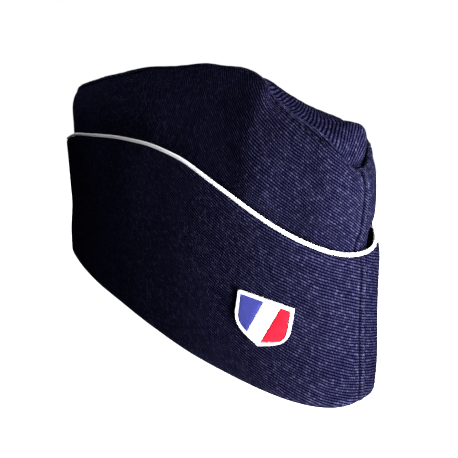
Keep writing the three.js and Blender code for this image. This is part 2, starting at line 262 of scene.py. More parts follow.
# ---- the cap's own surfaces ----
def follow(rows, key, column, at):
    """Smooth curve through the rows of a table that never overshoots between two rows."""
    x, y = rows[key], rows[column]
    gap = np.diff(x)
    chord = np.diff(y) / gap
    slope = np.concatenate([chord[:1], np.zeros(len(x) - 2), chord[-1:]])
    turns = chord[:-1] * chord[1:] > 0
    before, after = 2 * gap[1:] + gap[:-1], gap[1:] + 2 * gap[:-1]
    with np.errstate(divide="ignore", invalid="ignore"):
        blend = (before + after) / (before / chord[:-1] + after / chord[1:])
    slope[1:-1] = np.where(turns, blend, 0)
    at = np.clip(at, x[0], x[-1])
    k = np.clip(np.searchsorted(x, at) - 1, 0, len(x) - 2)
    t = (at - x[k]) / gap[k]
    near = (1 + 2 * t) * (1 - t) ** 2 * y[k] + t * t * (3 - 2 * t) * y[k + 1]
    pull = t * (1 - t) ** 2 * slope[k] - t * t * (1 - t) * slope[k + 1]
    return near + gap[k] * pull


def smoothstep(low, high, x):
    t = np.clip((x - low) / (high - low), 0, 1)
    return t * t * (3 - 2 * t)


def hill(x, width):
    return np.exp(-((x / width) ** 2))


def outline(levels, side, turn, share, inset):
    """Plan outline of one side at a share of the height, shrunk inward by inset."""
    at = {name: follow(levels, "share", name, share) for name in levels}
    nose, swell = at["nose_" + SIDES[side]], at["swell_" + SIDES[side]]
    c = np.cos(turn)
    reach = np.where(c >= 0, at["front"], at["back"]) - inset
    station = np.sign(c) * np.abs(c) ** (2 / np.where(c >= 0, nose, at["tail"]))
    half = at["half"] - inset + swell * hill(station - SWELL_STATION, SWELL_LENGTH)
    return reach * station, station, half, np.abs(np.sin(turn)) ** (2 / at["side"])


def crown_point(side, turn, share, depth, dented=True):
    lean = LEAN_ANGLE * smoothstep(LEAN_FROM, 1, share)
    x, station, half, across = outline(CROWN_LEVELS, side, turn, share, depth * np.cos(lean))
    dent = np.zeros_like(x)
    for k in np.flatnonzero(DENTS["side"] == side) if dented else ():
        reach = hill(station - DENTS["station"][k], DENTS["along"][k])
        dent += DENTS["depth"][k] * reach * hill(share - DENTS["share"][k], DENTS["up"][k])
    y = side * (SEAM + (half - dent) * across)
    z = share * follow(RIDGE, "station", SIDES[side], station)
    return np.stack([x, y, z - depth * np.sin(lean)], -1)


def curtain_point(side, turn, share, inset):
    x, station, half, across = outline(CURTAIN_LEVELS, side, turn, share, inset)
    z = share * follow(CURTAIN_TOP, "station", "height", station)
    return np.stack([x, side * (SEAM + half * across), z], -1)


def ridge_lip(side, station):
    """Inner lip of a crown panel's top edge, where the gusset joins."""
    nose, tail = CROWN_LEVELS["nose_" + SIDES[side]][-1], CROWN_LEVELS["tail"][-1]
    power = np.where(station >= 0, nose, tail) / 2
    turn = np.arccos(np.sign(station) * np.abs(station) ** power)
    return crown_point(side, turn, np.ones_like(turn), CROWN_WALL)


# ---- meshes from grids ----
TINY = 1e-9
MERGED = 1e-6  # points closer than this count as one


def lengths(points, axis):
    """Distance walked along a grid's columns or rows."""
    step = np.linalg.norm(np.diff(points, axis=axis), axis=-1)
    pad = [(0, 0), (0, 0)]
    pad[axis] = (1, 0)
    return np.pad(np.cumsum(step, axis=axis), pad)


def walk(line):
    """Distance walked along a line of points."""
    return lengths(line[:, None], 0)[:, 0]


def point_at(distance, walked, line):
    """Points at distances along a line."""
    return np.stack([np.interp(distance, walked, line[:, k]) for k in range(line.shape[1])], -1)


def evened(loop, count):
    """Points at even distances round a closed line, and those distances with the whole length last."""
    whole = np.concatenate([loop, loop[:1]])
    walked = walk(whole)
    places = np.linspace(0, walked[-1], count + 1)
    return point_at(places[:-1], walked, whole), places


def units(vectors):
    return vectors / np.maximum(np.linalg.norm(vectors, axis=-1, keepdims=True), TINY)


def outward(points, side):
    """Unit normals of a grid of columns and rows, pointing away from the middle plane's side."""
    along = np.gradient(points, axis=0)
    up = np.gradient(points, axis=1)
    return units(np.cross(along, up) * side)


def spaced(length, fine, coarse, zone, ease):
    """Places from 0 to length: fine steps inside a zone by both ends, growing to coarse ones."""
    half = [0.0]
    step = fine
    while half[-1] < length / 2:
        if half[-1] > zone:
            step = min(step * ease, coarse)
        half.append(half[-1] + step)
    half = np.array(half) * (length / 2 / half[-1])
    return np.concatenate([half, length - half[-2::-1]])


def arc(start, end, bulge, count):
    """Points between two edges on a half round that swells by the vector bulge."""
    angle = np.pi * np.arange(1, count + 1) / (count + 1)
    middle, radius = (start + end) / 2, (start - end) / 2
    return np.stack([middle + radius * math.cos(a) + bulge * math.sin(a) for a in angle], 1)


def bands(at):
    """Quads between the closed rows of a grid of corner numbers."""
    a, b = at[:-1], at[1:]
    return np.stack([a, b, np.roll(b, -1, 1), np.roll(a, -1, 1)], -1).reshape(-1, 4)


def capped(at):
    """Faces of a grid of corner numbers with closed rows, with its first and last row filled."""
    return bands(at).tolist() + [at[0].tolist(), at[-1][::-1].tolist()]


def add(name, data):
    made = bpy.data.objects.new(name, data)
    bpy.context.scene.collection.objects.link(made)
    return made


def mesh_of(name, points, faces):
    """Mesh from points in mm."""
    mesh = bpy.data.meshes.new(name)
    mesh.from_pydata((points.reshape(-1, 3) * MM).tolist(), [], faces)
    return mesh


def placed(name, mesh):
    """Smooth object of a closed mesh, whose faces are turned outward."""
    mesh.shade_smooth()
    work = bmesh.new()
    work.from_mesh(mesh)
    if work.calc_volume(signed=True) < 0:
        bmesh.ops.reverse_faces(work, faces=work.faces)
        work.to_mesh(mesh)
    work.free()
    return add(name, mesh)


def woven(mesh, weave, *caps):
    """Gives a grid's faces, and then its caps, the cloth's own coordinates in mm."""
    own = np.stack([weave[:-1, :-1], weave[1:, :-1], weave[1:, 1:], weave[:-1, 1:]], 2).reshape(-1, 2)
    own = np.concatenate([own, *caps])
    mesh.uv_layers.new(name="Weave").uv.foreach_set("vector", own.astype(np.float32).ravel())


def tube(line, beside, up, radius, count):
    """Rings of points round a line."""
    angle = 2 * np.pi * np.arange(count)[:, None] / count
    ring = beside[:, None] * np.cos(angle) + up[:, None] * np.sin(angle)
    return line[:, None] + ring * radius[:, None, None]


def girth(loop):
    """Distance walked round each column of a grid whose rows close on themselves."""
    return lengths(np.concatenate([loop, loop[:, :1]], 1), 1)


def loop_mesh(name, loop, weave, wear):
    """Closed object from a grid whose rows close on themselves, with its end columns filled.
    weave is the cloth's own coordinates in mm, for one row more than the grid."""
    columns, rows = loop.shape[:2]
    mesh = mesh_of(name, loop, capped(np.arange(columns * rows).reshape(columns, rows)))
    woven(mesh, weave, weave[0, :-1], weave[-1, -2::-1])
    # per point: below nought painted shade, above nought wear and painted highlight
    layer = mesh.attributes.new("wear", "FLOAT", "POINT")
    layer.data.foreach_set("value", wear.astype(np.float32).ravel())
    return placed(name, mesh)


# ---- cloth panels ----
WELT = 2.2  # width of the raised strip between a seam and its topstitching
STITCH_LINE = WELT + 0.45  # how far the topstitching runs from its seam or ridge
SEAM_LAP = 0.05  # how far a panel's inner edge laps over the middle at a seam
NUDGE = 0.02  # small step of a station, turn or share, to measure a slope by
PIPING_GAP = 0.05  # clearance between the piping and the curtain's edge
CURTAIN_ROUND = 0.35 * CURTAIN_WALL  # how far the curtain's rounded edge swells up to the piping
PIECE_GAP = 0.1  # hairline left between the crown and the curtain at the rim
RIM_FOLD = 7.0  # height over which the crown's foot spreads out
TOP_TUCK = (0.7, 0.5)  # how far the gusset's edge reaches out and down under each ridge
EDGE_ZONE = 7.0  # how far below a panel's top edge its mesh is fine
# degrees of the twill's ribs by the front seam and behind, where they bend, and the middle height
CROWN_GRAIN = dict(front=30, middle=46, bend_from=25, bend_to=80, centre=70)
CURTAIN_GRAIN = dict(front=17, middle=32, bend_from=5, bend_to=80, centre=35)
TOP_SLANT = (-0.3, -0.6)  # run of the gusset's ribs per mm across it, and what its left edge adds
SAMPLES = dict(panel=4000, top=3000)  # points of the lines that distances are first measured on
SEAM_MESH = dict(fine=0.16, coarse=0.85, zone=3.6, ease=1.12)
RIDGE_MESH = dict(ease=1.05, limit=1.1, coarse=1.25, samples=260)
TOP_MESH = dict(fine=0.25, coarse=0.8, zone=3, ease=1.12)
TOP_ROWS = 49  # rows of the gusset's face, across it
TOP_EASE = 0.6  # how much closer they lie by its edges, from 0 to 1
LIP_ROUND = 0.01  # swell of the gusset's hidden edges
INNER_ROWS = dict(panel=26, top=16)
ROUND_ROWS = dict(top=7, foot=6, lip=3)  # rows of the rounded edges
WAVES = 9  # crossing waves of the cloth's unevenness


def ripples(u, v, seed, shortest, longest):
    """Soft unevenness from -1 to 1 over a cloth, as a few crossing waves."""
    draw = random.Random(seed)
    total = np.zeros_like(u)
    for _ in range(WAVES):
        length = draw.uniform(shortest, longest)
        angle = draw.uniform(0, math.pi)
        phase = draw.uniform(0, 2 * math.pi)
        total += np.sin(2 * np.pi * (u * math.cos(angle) + v * math.sin(angle)) / length + phase)
    return total / math.sqrt(WAVES)


def spread_out(dense, line, mesh):
    """The dense values whose points along the line are as far apart as mesh asks."""
    walked = walk(line)
    return np.interp(spaced(walked[-1], **mesh), walked, dense)


def cut_area(along, width):
    """Area in square metres of a piece of cloth, from its widths at distances along it."""
    return ((width[1:] + width[:-1]) / 2 * np.diff(along)).sum() * MM * MM


def panel_turns(point, side, share):
    """Turns of a panel's columns, close together by the front and back seams."""
    dense = np.pi * (0.5 - 0.5 * np.cos(np.linspace(0, np.pi, SAMPLES["panel"])))
    return spread_out(dense, point(side, dense, np.array([share]), 0), SEAM_MESH)


def panel_shares(point, side, turns, low, high, fine_top):
    """Shares of the height of a panel's rows, bottom first, close together under the top edge."""
    part = np.linspace(0, 1, RIDGE_MESH["samples"])
    share = low[:, None] + (high - low)[:, None] * part
    walked = lengths(point(side, turns[:, None], share, 0), 1)
    total = walked[:, -1]
    near = [0.0]
    step = fine_top
    while near[-1] < EDGE_ZONE:
        near.append(near[-1] + step)
        step = min(step * RIDGE_MESH["ease"], RIDGE_MESH["limit"])
    rest = int((total.max() - near[-1]) / RIDGE_MESH["coarse"])
    below = near[-1] + np.linspace(0, 1, rest + 1)[1:] * (total[:, None] - near[-1])
    fall = np.concatenate([np.tile(near, (len(turns), 1)), below], 1)
    rows = [np.interp(total[i] - fall[i, ::-1], walked[i], share[i]) for i in range(len(turns))]
    return np.array(rows)


class Panel:
    """One cloth shell of the crown or the curtain, with its fine outer face and the distances over it:
    from the front and back seam, up from the rim and down from the top edge."""

    def __init__(self, point, side, wall, low, high, seam_share, fine_top, grain, cut_point=None):
        self.side, self.lapped = side, side > 0
        turns = panel_turns(point, side, seam_share)
        low, high = low(turns), high(turns)
        share = panel_shares(point, side, turns, low, high, fine_top)
        self.turns, self.share = turns[:, None], share
        self.face = point(side, self.turns, share, 0)
        inner_share = low[:, None] + (high - low)[:, None] * np.linspace(1, 0, INNER_ROWS["panel"])
        self.inner = point(side, self.turns, inner_share, wall)
        self.inner[[0, -1], :, 1] = -side * SEAM_LAP
        self.normal = outward(self.face, side)
        self.normal[[0, -1], :, 1] = 0
        self.flat_up = lengths((cut_point or point)(side, self.turns, share, 0), 1)
        self.grain = grain
        self.front = lengths(self.face, 0)
        self.back = self.front[-1:] - self.front
        self.seam = np.minimum(self.front, self.back)
        self.up = lengths(self.face, 1)
        self.down = self.up[:, -1:] - self.up
        middle = self.share.shape[1] // 2
        self.along = np.repeat(self.front[:, middle:middle + 1], self.share.shape[1], 1)

    def seams(self, kind, seed):
        """Relief of both seams and of the cloth's unevenness, which fades beside them."""
        relief = uneven(kind, self.along, self.up, seed) * smoothstep(*CALM, self.seam)
        return relief + sum(seam_relief(distance, self.lapped) for distance in (self.front, self.back))

    def push(self, relief):
        """Moves the outer face along its normals, outward if positive."""
        self.face = self.face + self.normal * relief[..., None]

    def build(self, name, bulge, wear):
        """Joins the faces by a rounded top edge and a rounded fold that touches the floor."""
        rise = units(self.face[:, -1] - self.face[:, -3]) * bulge
        top = arc(self.face[:, -1], self.inner[:, 0], rise, ROUND_ROWS["top"])
        foot = (self.face[:, 0, 2] + self.inner[:, -1, 2]) / 2
        drop = np.stack([foot * 0, foot * 0, -foot], -1)
        low = arc(self.inner[:, -1], self.face[:, 0], drop, ROUND_ROWS["foot"])
        loop = np.concatenate([self.face, top, self.inner, low], 1)
        around = girth(loop)
        faced = self.flat_up.shape[1]
        around[:, faced:] += self.flat_up[:, -1:] - around[:, faced - 1:faced]
        around[:, :faced] = self.flat_up
        weave = np.stack([np.repeat(self.along[:, :1], around.shape[1], 1), self.ribs(around)], -1)
        # painted shade in the seams' ditches and stitched groove, painted highlight beside them
        wear = wear + seam_painted_light(self.seam, self.lapped)
        grown = np.zeros(loop.shape[:2])
        grown[:, :faced] = wear
        grown[:, faced:faced + ROUND_ROWS["top"]] = wear[:, -1:]
        grown[:, -ROUND_ROWS["foot"]:] = wear[:, :1]
        return loop_mesh(name, loop, weave, grown)

    def ribs(self, around):
        """Distance across the twill's ribs, which climb away from the front on the right side."""
        along = self.along[:, 0]
        bend = smoothstep(self.grain["bend_from"], self.grain["bend_to"], along)
        angle = np.radians(self.grain["front"] + (self.grain["middle"] - self.grain["front"]) * bend)
        climb = np.concatenate([[0], np.cumsum(np.tan((angle[1:] + angle[:-1]) / 2) * np.diff(along))])
        return (around - self.grain["centre"] + self.side * climb[:, None]) * np.cos(angle)[:, None]

    def cut(self):
        """Flat size and area in metres of the piece of cloth that the panel was cut from."""
        along, height = self.along[:, 0], self.flat_up[:, -1]
        return dict(flat=(along[-1] * MM, height.max() * MM), area=cut_area(along, height))

    def row_below_top(self, distance):
        """Line along the panel at a distance below its top edge, and its normals."""
        scans = [(gap[::-1], np.s_[i, ::-1]) for i, gap in enumerate(self.down)]
        return self.trace(scans, distance)

    def row_beside_seam(self, distance, seam):
        """Line up the panel at a distance from its front or back seam, and its normals."""
        gap, way = (self.front, 1) if seam == "front" else (self.back, -1)
        return self.trace([(gap[::way, j], np.s_[::way, j]) for j in range(gap.shape[1])], distance)

    def trace(self, scans, distance):
        """Points and normals of the face where each scan, distances and a place, reaches a distance."""
        return [np.array([point_at(distance, gap, grid[at]) for gap, at in scans])
                for grid in (self.face, self.normal)]


def hills(*rows):
    return table("height middle width", *rows)


# Reliefs, and painted shade and painted highlight with some wear, across a seam or an edge, as sums of hills: how high
# each is, how far its middle lies from the seam or edge, and how wide it is. Below nought it is a groove, or painted
# shade.
DITCH = hills([-0.3, 0, 0.4], [-0.12, 0, 1.6])
SEAM_GROOVE = hills([-0.34, STITCH_LINE, 0.42], [-0.12, WELT + 0.8, 1.6])
RIDGE_GROOVE = hills([-0.26, WELT + 0.4, 0.5], [-0.22, WELT + 1.2, 2.4])
# painted shade and painted highlight across the seams, the ridge (with some wear) and the gusset's edges; the rim's
# fold is lighter
PLAIN_SEAM_PAINTED_LIGHT = hills([-0.6, 0, 0.5], [0.8, 1.3, 0.6])
LAPPED_SEAM_PAINTED_LIGHT = hills([-0.6, 0, 0.5], [1.0, 1.3, 0.6], [-0.5, STITCH_LINE, 0.5])
RIDGE_WEAR_AND_PAINTED_LIGHT = hills([1.7, 0.5, 0.7], [-0.45, WELT + 0.5, 0.8])
RIM_FOLD_LIGHTER = hills([0.7, 0, 1.6])
PIPED_EDGE = hills([-0.25, 0, 1.2])
TOP_EDGE = hills([-0.35, 0, 0.8])
TOP_EDGE_SHADE = hills([-0.9, 0, 0.7])
WELT_RISE = dict(seam=0.26, ridge=0.2)
WELT_EDGE = dict(seam=0.4, ridge=0.5, outer=0.1)  # how gently a welt ends, inside and outside WELT
PUCKER = dict(depth=0.035, reach=4.5, shortest=4.5, longest=11, waves=4)
UNEVEN = dict(crown=(0.28, 26, 70), curtain=(0.22, 30, 80), top=(0.3, 14, 40))  # depth, wavelengths
CALM = (1, 12)  # the unevenness starts and is full at these distances from a seam
TOP_CALM = (0.5, 5)
SHOWN = (0.3, 0.45)  # shares of the height between which the crown's relief comes in


def profile(rows, distance):
    return sum(height * hill(distance - middle, width) for height, middle, width in zip(*rows.values()))


def welt(kind, distance):
    """Raised strip between a seam or ridge and its topstitching."""
    inner, outer = WELT - WELT_EDGE[kind], WELT + WELT_EDGE["outer"]
    return WELT_RISE[kind] * (1 - smoothstep(inner, outer, distance))


def seam_relief(distance, lapped):
    """Cross-section of a seam: a narrow ditch, and on the lapped side a welt and a stitched groove."""
    ditch = profile(DITCH, distance)
    return ditch + welt("seam", distance) + profile(SEAM_GROOVE, distance) if lapped else ditch


def seam_painted_light(distance, lapped):
    """Painted shade in a seam's ditch, a painted highlight beside it, and on the lapped side painted shade in the
    stitched groove.
    """
    return profile(LAPPED_SEAM_PAINTED_LIGHT if lapped else PLAIN_SEAM_PAINTED_LIGHT, distance)


def uneven(kind, along, across, seed):
    depth, shortest, longest = UNEVEN[kind]
    return depth * ripples(along, across, seed, shortest, longest)


def puckers(along, distance, seed):
    """Small gathers that stitching draws into the cloth beside it."""
    draw = random.Random(seed)
    wave = 0
    for _ in range(PUCKER["waves"]):
        length = draw.uniform(PUCKER["shortest"], PUCKER["longest"])
        wave = wave + np.sin(2 * np.pi * along / length + draw.uniform(0, 6))
    return PUCKER["depth"] * wave * hill(distance, PUCKER["reach"])


def top_height(point, side, turns):
    """Height of the crown's or the curtain's top edge."""
    return point(side, turns, np.ones_like(turns), 0)[..., 2]


def crown_panel(side, name, seed):
    def low(turns):
        return CROWN_WALL / 2 / top_height(crown_point, side, turns)

    panel = Panel(crown_point, side, CROWN_WALL, low, lambda turns: 1 - low(turns),
                  seam_share=0.8, fine_top=0.2, grain=CROWN_GRAIN,
                  cut_point=lambda *at: crown_point(*at, dented=False))
    ridge = welt("ridge", panel.down) + profile(RIDGE_GROOVE, panel.down)
    ridge += puckers(panel.along, panel.down - WELT, seed)
    panel.push(ridge + panel.seams("crown", seed) * smoothstep(*SHOWN, panel.share))
    rim = panel.face[..., 2] / top_height(curtain_point, side, panel.turns)
    rim = curtain_point(side, panel.turns, rim, CURTAIN_WALL + PIECE_GAP)
    panel.face += (1 - smoothstep(1, RIM_FOLD, panel.up))[..., None] * (rim - panel.face)
    # painted highlight with some wear on the ridge's welt, painted shade in its stitched groove
    return panel.build(name, CROWN_WALL / 2, profile(RIDGE_WEAR_AND_PAINTED_LIGHT, panel.down)), panel


def piping_trim(station):
    """How far below the piping's middle line the curtain's edge lies, more where the line slopes."""
    height = [follow(CURTAIN_TOP, "station", "height", station + s) for s in (-NUDGE, NUDGE)]
    slope = (height[1] - height[0]) / (2 * NUDGE * CURTAIN_LEVELS["front"][-1])
    return (PIPING_RADIUS + PIPING_GAP) * np.hypot(1, slope)


def curtain_half(side, name, seed):
    def low(turns):
        return CURTAIN_WALL / 2 / top_height(curtain_point, side, turns)

    def high(turns):
        station = outline(CURTAIN_LEVELS, side, turns, np.ones_like(turns), 0)[1]
        trim = piping_trim(station) + CURTAIN_ROUND
        return 1 - trim / top_height(curtain_point, side, turns)

    panel = Panel(curtain_point, side, CURTAIN_WALL, low, high,
                  seam_share=0.6, fine_top=0.3, grain=CURTAIN_GRAIN)
    panel.push(profile(PIPED_EDGE, panel.down) + panel.seams("curtain", seed))
    # lighter along the rim's fold
    return panel.build(name, CURTAIN_ROUND, profile(RIM_FOLD_LIGHTER, panel.up)), panel


# ---- gusset ----
def top_point(station, part, inner):
    """The cloth between the ridges: part is 0 at the right ridge and 1 at the left."""
    right, left = ridge_lip(-1, station), ridge_lip(1, station)
    x = right[..., 0] * (1 - part) + left[..., 0] * part
    y = right[..., 1] * (1 - part) + left[..., 1] * part
    edge = right[..., 2] * (1 - part) + left[..., 2] * part
    rise = follow(TOP_RISE, "station", "rise", station)
    leaned = part ** np.where(rise > 0, ROLL_LEAN, 1)
    arch = (1 - (2 * leaned - 1) ** 2) ** np.where(rise > 0, ROLL, 1)
    y = y + ROLL_SPREAD * np.maximum(rise, 0) * arch * part**SPREAD_EDGE
    z = edge + TOP_LIFT + rise * arch
    return np.stack([x, y, z - (TOP_WALL if inner else 0)], -1)


def gusset(name, seed):
    dense = TOP_END * np.cos(np.linspace(0, np.pi, SAMPLES["top"]))
    station = spread_out(dense, top_point(dense, np.full_like(dense, 0.5), False), TOP_MESH)[:, None]
    even = np.linspace(0, 1, TOP_ROWS)
    eased = 0.5 - 0.5 * np.cos(np.pi * even)
    face = top_point(*np.broadcast_arrays(station, even + TOP_EASE * (eased - even)), False)
    inner = top_point(*np.broadcast_arrays(station, np.linspace(1, 0, INNER_ROWS["top"])), True)
    normal = outward(face, 1)
    normal *= np.sign(normal[..., 2:3].mean())
    across = lengths(face, 1)
    edge = np.minimum(across, across[:, -1:] - across)
    along = np.repeat(lengths(face, 0)[:, TOP_ROWS // 2, None], TOP_ROWS, 1)
    relief = profile(TOP_EDGE, edge) + uneven("top", along, across, seed) * smoothstep(*TOP_CALM, edge)
    face = face + normal * relief[..., None]
    tuck = np.array([0, TOP_TUCK[0], -TOP_TUCK[1]])
    face[:, 0] += tuck * [1, -1, 1]
    face[:, -1] += tuck
    lip = np.array([0.0, LIP_ROUND, 0.0])
    loop = np.concatenate([face, arc(face[:, -1], inner[:, 0], lip, ROUND_ROWS["lip"]), inner,
                           arc(inner[:, -1], face[:, 0], -lip, ROUND_ROWS["lip"])], 1)
    around = girth(loop)
    slant = TOP_SLANT[0] + TOP_SLANT[1] * np.minimum(around / across[:, -1:], 1)
    weave = np.stack([around, (along[:, :1] + slant * around) * math.cos(math.atan(TOP_SLANT[1]))], -1)
    wear = np.zeros(loop.shape[:2])
    # painted shade along the gusset's edges, where they tuck under the ridges
    wear[:, :TOP_ROWS] = profile(TOP_EDGE_SHADE, edge)
    width = across[:, -1]
    cut = dict(flat=(width.max() * MM, along[-1, 0] * MM), area=cut_area(along[:, 0], width))
    return loop_mesh(name, loop, weave, wear), cut


# ---- piping ----
CORD = dict(steps=900, around=14, width=0.97, unevenness=0.02, waves=(61, 97, 152, 233))


def piping(name):
    """Round cord in a felt cover, all the way round the curtain's top edge."""
    count, around = CORD["steps"], CORD["around"]
    part = np.arange(count) / count
    side = np.where(part < 0.5, -1, 1)
    turn = 2 * np.pi * np.where(part < 0.5, part, 1 - part)
    line = np.empty((count, 3))
    for s in (-1, 1):
        at = side == s
        line[at] = curtain_point(s, turn[at], np.ones(at.sum()), CURTAIN_WALL / 2)
    line, places = evened(line, count)
    forward = units(np.roll(line, -2, 0) - np.roll(line, 2, 0))
    out = units(np.cross(forward, [0, 0, 1.0]))
    rise = np.cross(out, forward)
    lap = 2 * np.pi / places[-1]
    wander = sum(np.sin(k * lap * places[:-1] + k) for k in CORD["waves"]) / len(CORD["waves"])
    radius = PIPING_RADIUS * (CORD["width"] + CORD["unevenness"] * wander)
    points = tube(line, out, rise, radius, around)
    at = np.arange(count * around).reshape(count, around)
    mesh = mesh_of(name, points, bands(np.concatenate([at, at[:1]])).tolist())
    turned = 2 * np.pi * PIPING_RADIUS * np.arange(around + 1) / around
    woven(mesh, np.stack(np.meshgrid(places, turned, indexing="ij"), -1))
    return placed(name, mesh)


# ---- stitching ----
STITCH = dict(pitch=3.0, length=2.3, radius=0.2, start=1.0, end=0.5, rings=7, sides=6)
STITCH_TAPER = (0.12, 0.88)  # share of a half wave that a stitch's thickness follows
CROWN_STITCHED_FROM = 40  # height at which the seam's topstitching starts
CURTAIN_STITCHED_FROM = 1
STITCH_RISE = 1.1  # how far a stitch stands up, to its thickness
STITCH_SINK = 0.55  # how deep it is sunk, to its radius


def stitches(name, rows):
    """Short threads sunk in the cloth along each row, a row being points and normals."""
    rings, sides, radius = STITCH["rings"], STITCH["sides"], STITCH["radius"]
    swell = radius * np.sin(np.pi * np.linspace(*STITCH_TAPER, rings))
    lift = (swell * STITCH_RISE - radius * STITCH_SINK)[:, None]
    points, faces = [], []
    for line, normal in rows:
        walked = walk(line)
        keep = np.append(True, np.diff(walked) > MERGED)
        line, normal, walked = line[keep], normal[keep], walked[keep]
        end = walked[-1] - STITCH["length"] - STITCH["end"]
        for start in np.arange(STITCH["start"], end, STITCH["pitch"]):
            at = start + STITCH["length"] * np.linspace(0, 1, rings)
            mid = point_at(at, walked, line)
            up = units(point_at(at, walked, normal))
            beside = np.cross(units(np.gradient(mid, axis=0)), up)
            grid = len(points) * rings * sides + np.arange(rings * sides).reshape(rings, sides)
            points.append(tube(mid + up * lift, beside, up, swell, sides).reshape(-1, 3))
            faces += capped(grid)
    return placed(name, mesh_of(name, np.concatenate(points), faces))


# ---- badge ----
GAP = 0.35  # clearance between the badge and the curtain
BADGE = dict(turn=0.68, share=0.42, tilt=-0.1, width=20.5, height=17,
             shoulder=0.06, belly=5.5, cheek=0.55, cheek_rise=2.4,
             plate=0.8, rim=1.0, rim_height=0.9, enamel=0.5, band_tilt=0.36, band_half=3.1)
TIP_INSET = 1.25  # an inset moves the pointed tip further than the straight sides
SHIELD_STEPS = dict(side=6, curve=26, top=20)
BADGE_FOOT = table("inset height", [0.35, 0], [0.1, 0.08], [0, 0.3])  # rounded edge of its back
RIM_ROUND = dict(radius=0.45, start=0.15, end=math.pi - 0.1, steps=11)
RIM_FLOOR = table("inset height", [0, 0.12], [0.15, 0])  # fillet inside the rim
FIELD_GAP = 0.12  # between the rim and the enamel
FIELD_FLOOR = 0.06
FIELD_POINTS = 120
CREST = 0.25  # how far an enamel pillow rises over its edge
PILLOW = table(  # its profile: inset, drop from the top and share of the crest
    "inset drop  crest",
    [0.00, 0.16, 0.00],
    [0.05, 0.06, 0.00],
    [0.14, 0.00, 0.00],
    [0.35, 0.00, 0.30],
    [0.80, 0.00, 0.60],
    [1.60, 0.00, 0.85],
    [2.60, 0.00, 1.00],
)


def badge_frame():
    """Matrix that stands the badge on the curtain: across, up, out and the middle of its back."""
    def beside(turn, share):
        return curtain_point(-1, np.array(BADGE["turn"] + turn), np.array(BADGE["share"] + share), 0)

    forward = Vector(beside(-NUDGE, 0) - beside(NUDGE, 0))
    rise = Vector(beside(0, NUDGE) - beside(0, -NUDGE))
    out = forward.cross(rise).normalized()
    across = Vector((forward.x, forward.y, 0)).normalized()
    up = out.cross(across).normalized()
    across = up.cross(out)
    turned = Matrix((across, up, out)).transposed().to_4x4() @ Matrix.Rotation(BADGE["tilt"], 4, "Z")
    return Matrix.Translation((Vector(beside(0, 0)) + out * GAP) * MM) @ turned


def bezier(start, lean, pull, end, count):
    """Points of a cubic curve, without its first one."""
    t = np.linspace(0, 1, count + 1)[1:, None]
    start, lean, pull, end = map(np.array, (start, lean, pull, end))
    near, far = (1 - t) ** 3 * start, t**3 * end
    return near + 3 * t * (1 - t) ** 2 * lean + 3 * t * t * (1 - t) * pull + far


def shield(inset):
    """Heater shield drawn anticlockwise from its top left corner, shrunk by inset on every side."""
    half = BADGE["width"] / 2 - inset
    top = BADGE["height"] / 2 - inset
    tip = -BADGE["height"] / 2 + inset * TIP_INSET
    shoulder = BADGE["height"] * BADGE["shoulder"]
    full = shoulder - BADGE["belly"]
    cheek = half * BADGE["cheek"]
    above = tip + BADGE["cheek_rise"]
    down = np.linspace([-half, top], [-half, shoulder], SHIELD_STEPS["side"] + 1)
    left = bezier((-half, shoulder), (-half, full), (-cheek, above), (0, tip), SHIELD_STEPS["curve"])
    side = np.concatenate([down, left])
    across = np.linspace([half, top], [-half, top], SHIELD_STEPS["top"] + 1)[1:-1]
    return np.concatenate([side, side[-2::-1] * [-1, 1], across])


def stacked(name, rings):
    """Closed mesh through rings of points, one above another, with the first and last one filled."""
    points = np.concatenate(rings)
    return placed(name, mesh_of(name, points, capped(np.arange(len(points)).reshape(len(rings), -1))))


def raised(outline_points, height):
    return np.column_stack([outline_points, np.full(len(outline_points), height)])


def badge_body(name):
    """Shield-shaped back plate with a rounded rim round a sunken floor."""
    plate, rim, radius = BADGE["plate"], BADGE["rim"], RIM_ROUND["radius"]
    wall = plate + BADGE["rim_height"] - radius
    steps = [*zip(*BADGE_FOOT.values()), (0, wall)]
    for angle in np.linspace(RIM_ROUND["start"], RIM_ROUND["end"], RIM_ROUND["steps"]):
        steps.append((rim / 2 * (1 - math.cos(angle)), wall + radius * math.sin(angle)))
    steps += [(rim + inset, plate + height) for inset, height in zip(*RIM_FLOOR.values())]
    return stacked(name, [raised(shield(inset), height) for inset, height in steps])


def clipped(outline_points, normal, limit):
    """The part of a convex outline whose distance along normal stays under limit."""
    kept = []
    depth = outline_points @ normal - limit
    for k, here in enumerate(outline_points):
        after = (k + 1) % len(outline_points)
        if depth[k] <= 0:
            kept.append(here)
        if depth[k] * depth[after] < 0:
            part = depth[k] / (depth[k] - depth[after])
            kept.append(here + part * (outline_points[after] - here))
    return np.array(kept)


def enamel_field(name, low, high):
    """Pillow of enamel between two slanting lines: low and high are where they cross the middle."""
    slant = np.array([1, -BADGE["band_tilt"]])
    field = shield(BADGE["rim"] + FIELD_GAP)
    for normal, limit in ((slant, high), (-slant, -low)):
        field = clipped(field, normal, limit)
    field = evened(field, FIELD_POINTS)[0]
    middle = field.mean(0)
    size = np.linalg.norm(field - middle, axis=1).mean()
    rings = [raised(field, BADGE["plate"] + FIELD_FLOOR)]
    for inset, drop, crest in zip(*PILLOW.values()):
        height = BADGE["plate"] + BADGE["enamel"] - drop + CREST * crest
        rings.append(raised(middle + (field - middle) * (1 - inset / size), height))
    return stacked(name, rings)


